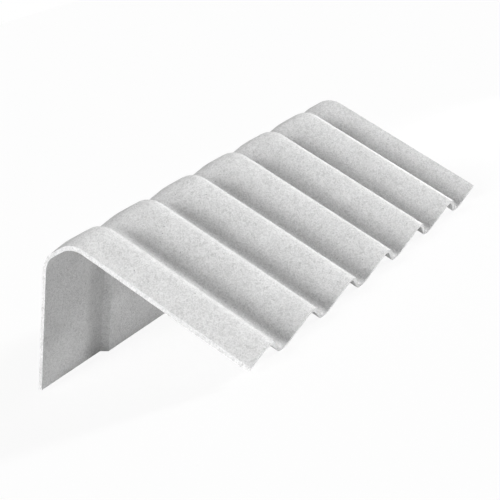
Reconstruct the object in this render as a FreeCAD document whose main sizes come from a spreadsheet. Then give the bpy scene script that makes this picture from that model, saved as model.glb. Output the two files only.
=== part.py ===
"""Ridge cap for a single-slope roof of corrugated fibre-cement sheets, pressed in one piece.

Millimetres. The cap is drawn in the frame of its corrugated wing: X runs down the roof slope from
the ridge, Y along the ridge, Z out of the wing. The line X = Z = 0 is where the outer face of the
plain wing's side lap would meet the middle of the waves if nothing were bent. The finished cap is
then turned to stand on a level floor on its two free edges, with the origin on the floor under its
middle.
"""
import FreeCAD, Part
import math
import os

V = FreeCAD.Vector

DRIVING = {
    "cap_length": 500.0,         # along the ridge
    "sheet_thickness": 4.0,
    "wing_angle": 76.0,          # between the two wings
    "corrugated_reach": 255.0,   # from the ridge line down the slope to the eave edge
    "plain_reach": 200.0,        # from the ridge line down to the plain wing's free edge
    "wave_pitch": 81.0,
    "wave_height": 26.0,
    "wave_radius": 15.0,         # of the outer face, on crests and in valleys
    "first_crest": 25.0,         # from the near end
    "crest_corner": 44.0,        # from the ridge line to the wing's bend, on a crest
    "valley_corner": 32.0,       # the same in a valley
    "crown_slope": 55.5,         # fall of the crown from the wing to the ridge bend
    "wing_bend_radius": 32.0,
    "ridge_bend_end": 47.0,      # from the ridge line to where the plain wing becomes flat
    "lap_bend_end": 56.5,        # the same in the side lap
    "lap_width": 101.0,          # near end of the plain wing, which laps over the next cap
    "lap_step": 7.0,             # the rest of the plain wing lies this much further in
    "lap_ramp": 6.0,
    "straight_root": 12.0,       # straight sheet kept between a bend and the wing it leads into
}

TOUCHING = 1e-4  # points nearer than this are one point

doc = FreeCAD.newDocument("ridge_cap")
sheet = doc.addObject("Spreadsheet::Sheet", "Sizes")
for row, (alias, value) in enumerate(DRIVING.items(), start=1):
    sheet.set(f"A{row}", alias)
    sheet.set(f"B{row}", str(value))
    sheet.setAlias(f"B{row}", alias)
doc.recompute()


def size(alias):
    return float(sheet.get(alias))


length = size("cap_length")
thickness = size("sheet_thickness")
pitch = size("wave_pitch")
height = size("wave_height")
radius = size("wave_radius")
first_crest = size("first_crest")
CROWN_FALL = math.radians(size("crown_slope"))
PLAIN_FALL = math.pi - math.radians(size("wing_angle"))


def flank_angle():
    """Slope of the straight flank that is tangent to a crest arc and a valley arc."""
    half, drop = pitch / 2, height - 2 * radius
    return math.asin(2 * radius / math.hypot(half, drop)) + math.atan2(drop, half)


FLANK = flank_angle()


def out_of(fall):
    """The outward normal of a face that falls at this angle from the line of the wing."""
    return V(-math.sin(fall), 0, math.cos(fall))


def down(fall):
    return V(-math.cos(fall), 0, -math.sin(fall))


PLAIN_DOWN = down(PLAIN_FALL)
PLAIN_OUT = out_of(PLAIN_FALL)


class Bend:
    """An arc between two straight faces, drawn by three places: its begin, its corner and its end.

    A place is a point, the outward direction there, and how far the point moves inwards for each
    millimetre of depth. The corner is where the straight faces would meet. It moves further, and
    draws the arc with the weight of one over that.
    """

    def __init__(self, corner, before, after, tangent):
        stretch = 1 / math.cos((after - before) / 2)
        self.places = [
            (corner - down(before) * tangent, out_of(before), 1),
            (corner, out_of((before + after) / 2), stretch),
            (corner + down(after) * tangent, out_of(after), 1),
        ]


class Profile:
    """One cut of the outer face across the ridge: wing, bend, crown, ridge bend, plain wing."""

    def __init__(self, corner, level, inset, bend_end):
        self.level = level
        wing_corner = V(corner, 0, level)
        wing_tangent = size("wing_bend_radius") * math.tan(CROWN_FALL / 2)
        self.wing_bend = Bend(wing_corner, 0, CROWN_FALL, wing_tangent)
        self.wing_end = corner + wing_tangent
        self.plain_start = PLAIN_OUT * -inset
        gap = (wing_corner - self.plain_start).dot(out_of(CROWN_FALL))
        corner_reach = gap / PLAIN_DOWN.dot(out_of(CROWN_FALL))
        ridge_corner = self.plain_start + PLAIN_DOWN * corner_reach
        self.ridge_bend = Bend(ridge_corner, CROWN_FALL, PLAIN_FALL, bend_end - corner_reach)

    def on_wing(self, x):
        return V(x, 0, self.level), out_of(0), 1

    def on_plain(self, reach):
        return self.plain_start + PLAIN_DOWN * reach, PLAIN_OUT, 1


def between(a, b, share):
    return a + (b - a) * share


def crest_and_valley(inset, bend_end):
    crest = Profile(size("crest_corner"), height / 2, inset, bend_end)
    valley = Profile(size("valley_corner"), -height / 2, inset, bend_end)
    return crest, valley


MAIN = crest_and_valley(size("lap_step"), size("ridge_bend_end"))
LAP = crest_and_valley(0, size("lap_bend_end"))
PROFILES = (*MAIN, *LAP)
RAMP_ANGLE = math.atan2(size("lap_step"), size("lap_ramp"))

wing_root = max(profile.wing_end for profile in PROFILES) + size("straight_root")
plain_root = max(size("ridge_bend_end"), size("lap_bend_end")) + size("straight_root")


def wing_cut_place(profile):
    return profile.on_wing(wing_root)


def plain_cut_place(profile):
    return profile.on_plain(plain_root)


WING_BEND = [lambda profile, i=i: profile.wing_bend.places[i] for i in range(3)]
RIDGE_BEND = [lambda profile, i=i: profile.ridge_bend.places[i] for i in range(3)]
BANDS = [
    [wing_cut_place, WING_BEND[0]],
    WING_BEND,
    [WING_BEND[-1], RIDGE_BEND[0]],
    RIDGE_BEND,
    [RIDGE_BEND[-1], plain_cut_place],
]


def bend_weight(place):
    """All profiles bend by the same angles, so a place has one weight in all of them."""
    return 1 / place(MAIN[0])[-1]


class Skin:
    """The sheet's outer face, or the face at a depth under it.

    Across the ridge it follows the profiles in bands, straight or bent, and along the ridge its
    waves, which are arcs and straight flanks. Both are drawn by their corners, and in every place
    the wave is squeezed between a valley's profile and a crest's. So the bends and the arcs stay
    exact, from the wing, where the waves are whole, to the plain wing, where they are flat.
    """

    def __init__(self, depth):
        self.depth = depth
        self.lap_edge = size("lap_width") - depth * math.tan(RAMP_ANGLE / 2)
        self.ramp_edge = self.lap_edge + size("lap_ramp")
        halves = range(-2, 2 * math.ceil(length / pitch) + 2)
        self.arcs = [(first_crest + half * pitch / 2, radius + depth, -1) if half % 2 else
                     (first_crest + half * pitch / 2, radius - depth, 1) for half in halves]
        edges = [0, self.lap_edge, self.ramp_edge, length]
        joints = [centre + turn * bend * math.sin(FLANK) for centre, bend, _ in self.arcs for turn in (-1, 1)]
        joints = [y for y in joints if 0 < y < length and min(abs(y - edge) for edge in edges) > TOUCHING]
        self.breaks = sorted(edges + joints)

    def under(self, place, profile):
        point, out, stretch = place(profile)
        return point - out * stretch * self.depth

    def nearest_arc(self, y):
        return min(self.arcs, key=lambda arc: abs(y - arc[0]))

    def level(self, y):
        """Height over the middle of this face's own waves."""
        centre, bend, side = self.nearest_arc(y)
        away, end = abs(y - centre), bend * math.sin(FLANK)
        if away < end:
            return side * (height / 2 - bend + math.sqrt(bend ** 2 - away ** 2))
        return side * (height / 2 - bend + bend * math.cos(FLANK) - (away - end) * math.tan(FLANK))

    def corners(self, y0, y1):
        """The corners that draw the wave from y0 to y1, each with its weight: three on an arc."""
        start, end = (y0, self.level(y0), 1), (y1, self.level(y1), 1)
        centre, bend, side = self.nearest_arc((y0 + y1) / 2)
        if abs((y0 + y1) / 2 - centre) > bend * math.sin(FLANK):
            return [start, end]
        angles = [math.asin((y - centre) / bend) for y in (y0, y1)]
        middle, half = sum(angles) / 2, (angles[1] - angles[0]) / 2
        reach = bend / math.cos(half)
        corner_level = side * (height / 2 - bend + reach * math.cos(middle))
        return [start, (centre + reach * math.sin(middle), corner_level, math.cos(half)), end]

    def point(self, place, y, level):
        share = 0.5 + level / height
        lap_share = min(1, max(0, (self.ramp_edge - y) / size("lap_ramp")))
        crest, valley, lap_crest, lap_valley = (self.under(place, profile) for profile in PROFILES)
        main, lap = between(valley, crest, share), between(lap_valley, lap_crest, share)
        return between(main, lap, lap_share) + V(0, y, 0)

    def on_skin(self, place, y):
        return self.point(place, y, self.level(y))

    def patch(self, band, y0, y1):
        """The face of one band from y0 to y1."""
        corners = self.corners(y0, y1)
        poles = [[self.point(place, y, level) for y, level, _ in corners] for place in band]
        weights = [[bend_weight(place) * weight for *_, weight in corners] for place in band]
        rows, columns = len(band), len(corners)
        surface = Part.BSplineSurface()
        surface.buildFromPolesMultsKnots(poles, [rows, rows], [columns, columns], [0, 1], [0, 1],
                                         False, False, rows - 1, columns - 1, weights)
        return surface.toShape()

    def patches(self):
        """The whole face, from the wing's cut to the plain wing's."""
        return [self.patch(band, y0, y1) for band in BANDS for y0, y1 in zip(self.breaks, self.breaks[1:])]

    def edges_along(self, y):
        """The face's line across the ridge at y, from the wing's cut to the plain wing's."""
        for band in BANDS:
            curve = Part.BSplineCurve()
            curve.buildFromPolesMultsKnots([self.on_skin(place, y) for place in band],
                                           [len(band), len(band)], [0, 1], False, len(band) - 1,
                                           [bend_weight(place) for place in band])
            yield curve.toShape()

    def edges_across(self, place):
        """The face's line along the ridge at one place, as arcs and straight lines."""
        for y0, y1 in zip(self.breaks, self.breaks[1:]):
            start, middle, end = (self.on_skin(place, y) for y in (y0, (y0 + y1) / 2, y1))
            if middle.distanceToLine(start, end - start) > TOUCHING:
                yield Part.Arc(start, middle, end).toShape()
            else:
                yield Part.LineSegment(start, end).toShape()


OUTER = Skin(0)
INNER = Skin(thickness)


def closed_face(edges):
    return Part.Face(Part.Wire(Part.__sortEdges__(edges)))


def bridge(place, y):
    """The edge of a flat cut, straight through the sheet."""
    return Part.LineSegment(OUTER.on_skin(place, y), INNER.on_skin(place, y)).toShape()


def cut_at(place):
    """The flat cut along the ridge at one place."""
    edges = [edge for skin in (OUTER, INNER) for edge in skin.edges_across(place)]
    return closed_face(edges + [bridge(place, y) for y in (0, length)])


def cut_end(y):
    """The flat cut across the ridge at one end of the crown."""
    edges = [edge for skin in (OUTER, INNER) for edge in skin.edges_along(y)]
    return closed_face(edges + [bridge(place, y) for place in (wing_cut_place, plain_cut_place)])


def add(kind, label, **properties):
    made = doc.addObject(kind, label)
    for name, value in properties.items():
        setattr(made, name, value)
    return made


wing_cut = cut_at(wing_cut_place)
plain_cut = cut_at(plain_cut_place)
shell = Part.Shell([*OUTER.patches(), *INNER.patches(), cut_end(0), cut_end(length), wing_cut, plain_cut])
shell.sewShape()
crown = add("Part::Feature", "crown", Shape=Part.Solid(shell))

# Both wings are the crown's own cut faces, drawn out straight to their free edges.
wing_section = add("Part::Feature", "corrugated_section", Shape=wing_cut)
corrugated_wing = add("Part::Extrusion", "corrugated_wing", Base=wing_section, Solid=True,
                      DirMode="Custom", Dir=V(1, 0, 0))
corrugated_wing.setExpression("LengthFwd", f"Sizes.corrugated_reach * 1 mm - {wing_root} mm")
plain_section = add("Part::Feature", "plain_section", Shape=plain_cut)
plain_wing = add("Part::Extrusion", "plain_wing", Base=plain_section, Solid=True,
                 DirMode="Custom", Dir=PLAIN_DOWN)
plain_wing.setExpression("LengthFwd", f"Sizes.plain_reach * 1 mm - {plain_root} mm")
cap = add("Part::MultiFuse", "ridge_cap", Shapes=[corrugated_wing, crown, plain_wing], Refine=True)

# It stands on the undersides of its valleys at the eave edge and on the plain wing's inner edge.
eave_foot = V(size("corrugated_reach"), 0, -height / 2 - thickness)
plain_foot = PLAIN_DOWN * size("plain_reach") - PLAIN_OUT * (size("lap_step") + thickness)
lean = math.degrees(math.atan2(eave_foot.z - plain_foot.z, eave_foot.x - plain_foot.x))
standing = FreeCAD.Rotation(V(0, 1, 0), lean)
lap_corner = standing.multVec(LAP[0].on_plain(size("plain_reach"))[0])
eave_corner = standing.multVec(V(size("corrugated_reach"), 0, height / 2))
middle = V((lap_corner.x + eave_corner.x) / 2, length / 2, standing.multVec(eave_foot).z)
cap.Placement = FreeCAD.Placement(-middle, standing)
doc.recompute()

for thing in doc.Objects:
    if "Invalid" in thing.State or "Error" in thing.State:
        raise RuntimeError(f"{thing.Label} did not compute: {thing.State}")
for thing in (crown, corrugated_wing, plain_wing, cap):
    if thing.Shape.isNull() or not thing.Shape.isValid() or len(thing.Shape.Solids) != 1:
        raise RuntimeError(f"{thing.Label} is not one valid solid")
os.makedirs("parts", exist_ok=True)
cap.Shape.exportStep(f"parts/{cap.Label}.step")
print(cap.Label, round(cap.Shape.Volume / 1000, 1), "cm3,", len(cap.Shape.Faces), "faces")
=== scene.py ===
# %% [markdown]
# # A fibre-cement ridge cap
# The cap covers the top edge of a single-slope roof. It is one sheet of fibre cement, pressed wet
# over a mould and cured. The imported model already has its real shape: the corrugated wing, the
# crown where the waves fade out, the plain wing and its side lap. It is loaded here as a fixed frame,
# and this script gives it its surface, its light and its camera.

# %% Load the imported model
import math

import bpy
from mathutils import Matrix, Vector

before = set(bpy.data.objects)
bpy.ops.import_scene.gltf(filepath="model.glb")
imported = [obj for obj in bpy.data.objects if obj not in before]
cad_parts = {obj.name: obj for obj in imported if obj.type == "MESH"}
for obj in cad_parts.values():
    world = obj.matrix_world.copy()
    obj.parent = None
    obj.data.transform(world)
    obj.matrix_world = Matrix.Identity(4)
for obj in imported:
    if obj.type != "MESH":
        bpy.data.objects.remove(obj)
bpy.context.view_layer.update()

# %% [markdown]
# Nothing here changes the cap's size. Blender counts in metres. Sizes near the cap's own are written
# in millimetres, as on a drawing, and multiplied by MM.

MM = 0.001


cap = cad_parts["ridge_cap"]

# %% [markdown]
# ## Fibre cement
# Fibre cement is Portland cement with fine cellulose or glass fibres, laid in thin films and pressed.
# Its face is matt and light grey. Close to, it is mottled: pale where the cement skin is thick, and
# darker along the short fibres that lie just under it, with a few dark specks. This could be painted
# on an image, but a procedural pattern on Object coordinates has no seams, keeps its real scale and
# covers the hidden sides too.
#
# First come the helpers that every material uses: one turns a hex colour to linear light, one adds a
# node with its settings and links, and one turns a real size into a pattern's scale.

# %% Colour, node and scale helpers
def linear(hex_colour):
    """An sRGB hex colour such as C8C8C6 as linear red, green, blue and alpha."""
    channels = [int(hex_colour[i:i + 2], 16) / 255 for i in (0, 2, 4)]
    curve = [c / 12.92 if c <= 0.04045 else ((c + 0.055) / 1.055) ** 2.4 for c in channels]
    return (*curve, 1.0)


def add_node(tree, kind, settings=None, values=None, links=None):
    """Adds a node, with its settings by name, its input values and its links from other sockets."""
    node = tree.nodes.new(kind)
    for name, value in (settings or {}).items():
        setattr(node, name, value)
    for name, value in (values or {}).items():
        node.inputs[name].default_value = value
    for name, socket in (links or {}).items():
        tree.links.new(socket, node.inputs[name])
    return node


def scale_for(size_mm):
    """The scale of a pattern whose features are about this many millimetres apart."""
    return 1 / (size_mm * MM)


print("a pattern of 10 mm features has the scale", scale_for(10))

# %% [markdown]
# The pattern has four sizes. Clouds a few centimetres wide come from the way the wet films dry. The
# fibre mottle is a noise with some distortion, which draws it into short worm-like marks, as the
# fibres do. The real fibres are thinner than a tenth of a millimetre, too fine for the render, so
# they are drawn coarser, as marks about three millimetres apart. The grain is the pressed cement
# paste, and the specks are rare dark grains. The palest paste is the base, and each noise darkens it
# by a share, because the real marks are dark on pale, not the other way round.

# %% Colours and pattern sizes of the fibre cement
PASTE_PALE = "E2E2E2"
FIBRE_GREY = "A9A9A9"
SPECK_DARK = "7D7D7D"
CLOUD_MM = 24.0
FIBRE_MM = 3.0
GRAIN_MM = 1.4
SPECK_SPACING_MM = 13.0
SPECK_RADIUS_MM = 0.9
print("paste in linear light:", linear(PASTE_PALE), "fibres:", linear(FIBRE_GREY))

# %% [markdown]
# A noise lies between nought and one, mostly near the middle. A Map Range node picks the part of it
# that makes a mark. From the first value to the second, the mark grows from nothing to its full
# share, which is how far it takes the paste towards the fibre grey. The fibres and the grain count
# where their noise is low, and there the surface is low too, as between grains.

# %% How far each pattern darkens the paste
CLOUD_SHARE = 0.10
FIBRE_SHARE = 0.44
GRAIN_SHARE = 0.33
SPECK_SHARE = 0.7
CLOUD_RANGE = (0.35, 0.65)
FIBRE_RANGE = (0.62, 0.30)
GRAIN_RANGE = (0.66, 0.32)


def mark_range(noise_range, share):
    """The values of a Map Range node that turns a noise to a mark of at most this share."""
    return {"From Min": noise_range[0], "From Max": noise_range[1], "To Min": 0.0, "To Max": share}


print("fibre marks:", mark_range(FIBRE_RANGE, FIBRE_SHARE))

# %% The clouds, the fibres and the grain
def mottle(tree, place):
    """The share by which the three noises darken the paste, and the height of their relief."""
    clouds = add_node(tree, "ShaderNodeTexNoise", values={"Scale": scale_for(CLOUD_MM), "Detail": 2.0},
                      links={"Vector": place})
    fibres = add_node(tree, "ShaderNodeTexNoise",
                      values={"Scale": scale_for(FIBRE_MM), "Detail": 3.0, "Roughness": 0.6,
                              "Distortion": 1.4},
                      links={"Vector": place})
    grain = add_node(tree, "ShaderNodeTexNoise",
                     values={"Scale": scale_for(GRAIN_MM), "Detail": 2.0, "Roughness": 0.6},
                     links={"Vector": place})
    cloud_marks = add_node(tree, "ShaderNodeMapRange", values=mark_range(CLOUD_RANGE, CLOUD_SHARE),
                           links={"Value": clouds.outputs["Fac"]})
    fibre_marks = add_node(tree, "ShaderNodeMapRange", {"interpolation_type": "SMOOTHSTEP"},
                           mark_range(FIBRE_RANGE, FIBRE_SHARE), {"Value": fibres.outputs["Fac"]})
    grain_marks = add_node(tree, "ShaderNodeMapRange", values=mark_range(GRAIN_RANGE, GRAIN_SHARE),
                           links={"Value": grain.outputs["Fac"]})
    clouds_and_fibres = add_node(tree, "ShaderNodeMath", {"operation": "ADD"},
                                 links={0: cloud_marks.outputs[0], 1: fibre_marks.outputs[0]})
    all_marks = add_node(tree, "ShaderNodeMath", {"operation": "ADD", "use_clamp": True},
                         links={0: clouds_and_fibres.outputs[0], 1: grain_marks.outputs[0]})
    relief = add_node(tree, "ShaderNodeMath", {"operation": "ADD"},
                      links={0: fibres.outputs["Fac"], 1: grain.outputs["Fac"]})
    return all_marks.outputs[0], relief.outputs[0]


print("features in mm:", CLOUD_MM, FIBRE_MM, GRAIN_MM)

# %% [markdown]
# A Voronoi pattern has one point in each cell and gives the distance to it, counted in cells. A speck
# is the small disc round that point, solid in the middle and soft at its edge.

# %% The specks
def specks(tree, place):
    """The share of dark grain at a place: full in the middle of a speck and nought off it."""
    cells = add_node(tree, "ShaderNodeTexVoronoi", values={"Scale": scale_for(SPECK_SPACING_MM)},
                     links={"Vector": place})
    edge = SPECK_RADIUS_MM / SPECK_SPACING_MM
    speck = add_node(tree, "ShaderNodeMapRange", values=mark_range((edge, edge / 2), SPECK_SHARE),
                     links={"Value": cells.outputs["Distance"]})
    return speck.outputs[0]


print("specks:", 2 * SPECK_RADIUS_MM, "mm wide, about", SPECK_SPACING_MM, "mm apart")

# %% [markdown]
# The face of fibre cement is full of fine pores, so it scatters light almost evenly: a high roughness
# and a weak shine. The relief is a fraction of a millimetre high. It is drawn as bump, because it is
# far too fine to be worth real geometry, and it shows only where the light grazes the sheet.

# %% Surface values
PORE_ROUGHNESS = 0.85
CEMENT_IOR = 1.5
DUSTY_SHINE = 0.3
RELIEF_MM = 0.7
RELIEF_STRENGTH = 0.6
print("relief in metres:", RELIEF_MM * MM)

# %% The fibre-cement material
# A Mix node has a set of sockets for each kind of value. These are the ones that colours use.
MIX_SHARE, MIX_FIRST, MIX_SECOND = 0, 6, 7
MIX_RESULT = 2


def fibre_cement():
    """Pressed fibre cement: pale paste, darkened by its marks and specks, matt and slightly rough."""
    material = bpy.data.materials.new("fibre_cement_pressed_matt")
    material.use_nodes = True
    tree = material.node_tree
    tree.nodes.clear()
    place = add_node(tree, "ShaderNodeTexCoord").outputs["Object"]
    marks, relief = mottle(tree, place)
    marked = add_node(tree, "ShaderNodeMix", {"data_type": "RGBA"},
                      {MIX_FIRST: linear(PASTE_PALE), MIX_SECOND: linear(FIBRE_GREY)}, {MIX_SHARE: marks})
    speckled = add_node(tree, "ShaderNodeMix", {"data_type": "RGBA"}, {MIX_SECOND: linear(SPECK_DARK)},
                        {MIX_SHARE: specks(tree, place), MIX_FIRST: marked.outputs[MIX_RESULT]})
    bump = add_node(tree, "ShaderNodeBump",
                    values={"Strength": RELIEF_STRENGTH, "Distance": RELIEF_MM * MM},
                    links={"Height": relief})
    shader = add_node(tree, "ShaderNodeBsdfPrincipled",
                      values={"Roughness": PORE_ROUGHNESS, "IOR": CEMENT_IOR,
                              "Specular IOR Level": DUSTY_SHINE},
                      links={"Base Color": speckled.outputs[MIX_RESULT], "Normal": bump.outputs[0]})
    add_node(tree, "ShaderNodeOutputMaterial", links={"Surface": shader.outputs[0]})
    return material


cap.data.materials.clear()
cap.data.materials.append(fibre_cement())
print("material on the cap:", cap.data.materials[0].name)

# %% [markdown]
# ## Floor and backdrop
# The cap stands on a plain white floor. A large plane is enough, since nothing of its edge shows.
# The camera sees the floor and the world as white, by Light Path, so the background is clean without
# more light on the cap. The floor keeps part of its own matt shading, so the cap's shadow stays.

# %% Floor
FLOOR_SIDE_M = 60.0
FLOOR_TONE = "FAFAFA"
BACKDROP_WHITE = "FFFFFF"
SHADOW_KEPT = 0.1

bpy.ops.object.select_all(action="DESELECT")
bpy.ops.mesh.primitive_plane_add(size=FLOOR_SIDE_M, location=(0, 0, 0))
floor = bpy.context.active_object
floor.name = "floor"
print("floor:", FLOOR_SIDE_M, "m wide")

# %% The floor's material
def seen_directly(tree):
    """One where the camera, a reflection or a clear piece shows this surface, and nought for light."""
    path = add_node(tree, "ShaderNodeLightPath")
    camera_or_glossy = add_node(tree, "ShaderNodeMath", {"operation": "MAXIMUM"},
                                links={0: path.outputs["Is Camera Ray"], 1: path.outputs["Is Glossy Ray"]})
    seen = add_node(tree, "ShaderNodeMath", {"operation": "MAXIMUM"},
                    links={0: camera_or_glossy.outputs[0], 1: path.outputs["Is Transmission Ray"]})
    return seen.outputs[0]


def pale_floor():
    """White where it is seen, but for a small share of matt shading, and all matt to other light."""
    material = bpy.data.materials.new("floor_white_matt")
    material.use_nodes = True
    tree = material.node_tree
    tree.nodes.clear()
    matt = add_node(tree, "ShaderNodeBsdfDiffuse", values={"Color": linear(FLOOR_TONE)})
    white = add_node(tree, "ShaderNodeEmission",
                     values={"Color": linear(BACKDROP_WHITE), "Strength": 1.0})
    white_share = add_node(tree, "ShaderNodeMath", {"operation": "MULTIPLY"}, {1: 1 - SHADOW_KEPT},
                           {0: seen_directly(tree)})
    mixed = add_node(tree, "ShaderNodeMixShader",
                     links={0: white_share.outputs[0], 1: matt.outputs[0], 2: white.outputs[0]})
    add_node(tree, "ShaderNodeOutputMaterial", links={"Surface": mixed.outputs[0]})
    return material


floor.data.materials.append(pale_floor())
print("share of the floor's shading kept:", SHADOW_KEPT)

# %% [markdown]
# The world is the backdrop above the floor. Where it is seen it is white at a strength of one, and as
# light it is weak, since an even light from all sides would fill the valleys and flatten the waves.

# %% World
AMBIENT = 0.03

world = bpy.data.worlds.new("white_studio")
bpy.context.scene.world = world
world.use_nodes = True
world_tree = world.node_tree
world_tree.nodes.clear()
strength = add_node(world_tree, "ShaderNodeMapRange", values={"To Min": AMBIENT, "To Max": 1.0},
                    links={"Value": seen_directly(world_tree)})
sky = add_node(world_tree, "ShaderNodeBackground", values={"Color": linear(BACKDROP_WHITE)},
               links={"Strength": strength.outputs[0]})
add_node(world_tree, "ShaderNodeOutputWorld", links={"Surface": sky.outputs[0]})
print("ambient strength:", AMBIENT)

# %% [markdown]
# ## Light
# The cap is pale on white, so light alone models it. Two lights come from behind, beyond the far end.
# The higher one draws the bright band on each crest, and the next crest keeps it out of the valley.
# The low one shines through under the cap onto the inside of the plain wing. The step of the side lap
# faces away from it, and its narrow angle keeps that dark band sharp. Three more fill from the
# camera's side, low enough to leave the valleys dark. Sun lamps are used, since they light every wave
# alike at any distance, and the other four have wide angles, which make their shadows soft.

# %% Lamps
def sun(name, azimuth, elevation, softness, energy):
    """A sun lamp at an azimuth, from +X towards +Y, and an elevation, with a width, all in degrees."""
    bpy.ops.object.light_add(type="SUN")
    lamp = bpy.context.active_object
    lamp.name = name
    around, up = math.radians(azimuth), math.radians(elevation)
    source = Vector((math.cos(up) * math.cos(around), math.cos(up) * math.sin(around), math.sin(up)))
    lamp.rotation_euler = source.to_track_quat("Z", "Y").to_euler()
    lamp.data.angle = math.radians(softness)
    lamp.data.energy = energy
    print(name, "energy", energy)


sun("crest_light", azimuth=50, elevation=17, softness=10, energy=3.7)
sun("low_light_behind", azimuth=70, elevation=3, softness=4, energy=0.8)
sun("fill_front", azimuth=270, elevation=30, softness=25, energy=2.0)
sun("fill_front_low", azimuth=270, elevation=10, softness=25, energy=1.1)
sun("fill_front_left", azimuth=240, elevation=30, softness=25, energy=0.6)

# %% [markdown]
# The inside of the cap is a tunnel, closed by the floor, and the low sun reaches only part of it. A
# small softbox behind the far opening, as low as the opening, fills the rest. It stands so low that
# of all the waves it lights only the ones at the far end much, on the side that the photo's camera
# doesn't see. It is hidden from the camera.

# %% Soft light under the cap
UNDER_PLACE = Vector((130, 850, 40)) * MM
UNDER_AIM = Vector((-120, -150, 60)) * MM
UNDER_SIDE_MM = 60.0
UNDER_WATTS = 5.0

bpy.ops.object.light_add(type="AREA", location=UNDER_PLACE)
under = bpy.context.active_object
under.name = "soft_light_under"
under.rotation_euler = (UNDER_PLACE - UNDER_AIM).to_track_quat("Z", "Y").to_euler()
under.data.shape = "SQUARE"
under.data.size = UNDER_SIDE_MM * MM
under.data.energy = UNDER_WATTS
under.visible_camera = False
print(under.name, "watts", UNDER_WATTS)

# %% [markdown]
# ## Camera
# The photo was taken with a long lens from a little above the cap. The camera was rolled by about 18
# degrees, so the plain wing's near end looks upright. Its place and angles were found by fitting the
# cap's edges and crest lines.

# %% Camera at the photo's angle
CAMERA_PLACE = Vector((887.12, -1168.88, 383.60)) * MM
HEADING = math.radians(37.728)      # to the left of +Y
LOOK_DOWN = math.radians(12.711)
ROLL = math.radians(17.912)         # the frame's right side dips
LENS_MM = 97.04
SENSOR_MM = 36.0
SIGHT_LIMIT_M = 100.0

bpy.ops.object.camera_add(location=CAMERA_PLACE)
camera = bpy.context.active_object
camera.name = "photo_camera"
aim = Matrix.Rotation(HEADING, 4, "Z") @ Matrix.Rotation(math.pi / 2 - LOOK_DOWN, 4, "X")
camera.matrix_world = Matrix.Translation(CAMERA_PLACE) @ aim @ Matrix.Rotation(-ROLL, 4, "Z")
camera.data.sensor_width = SENSOR_MM
camera.data.sensor_fit = "HORIZONTAL"
camera.data.lens = LENS_MM
camera.data.clip_end = SIGHT_LIMIT_M
bpy.context.scene.camera = camera
bpy.context.scene.view_settings.view_transform = "Standard"
print("camera at", tuple(CAMERA_PLACE), "lens", LENS_MM, "mm")
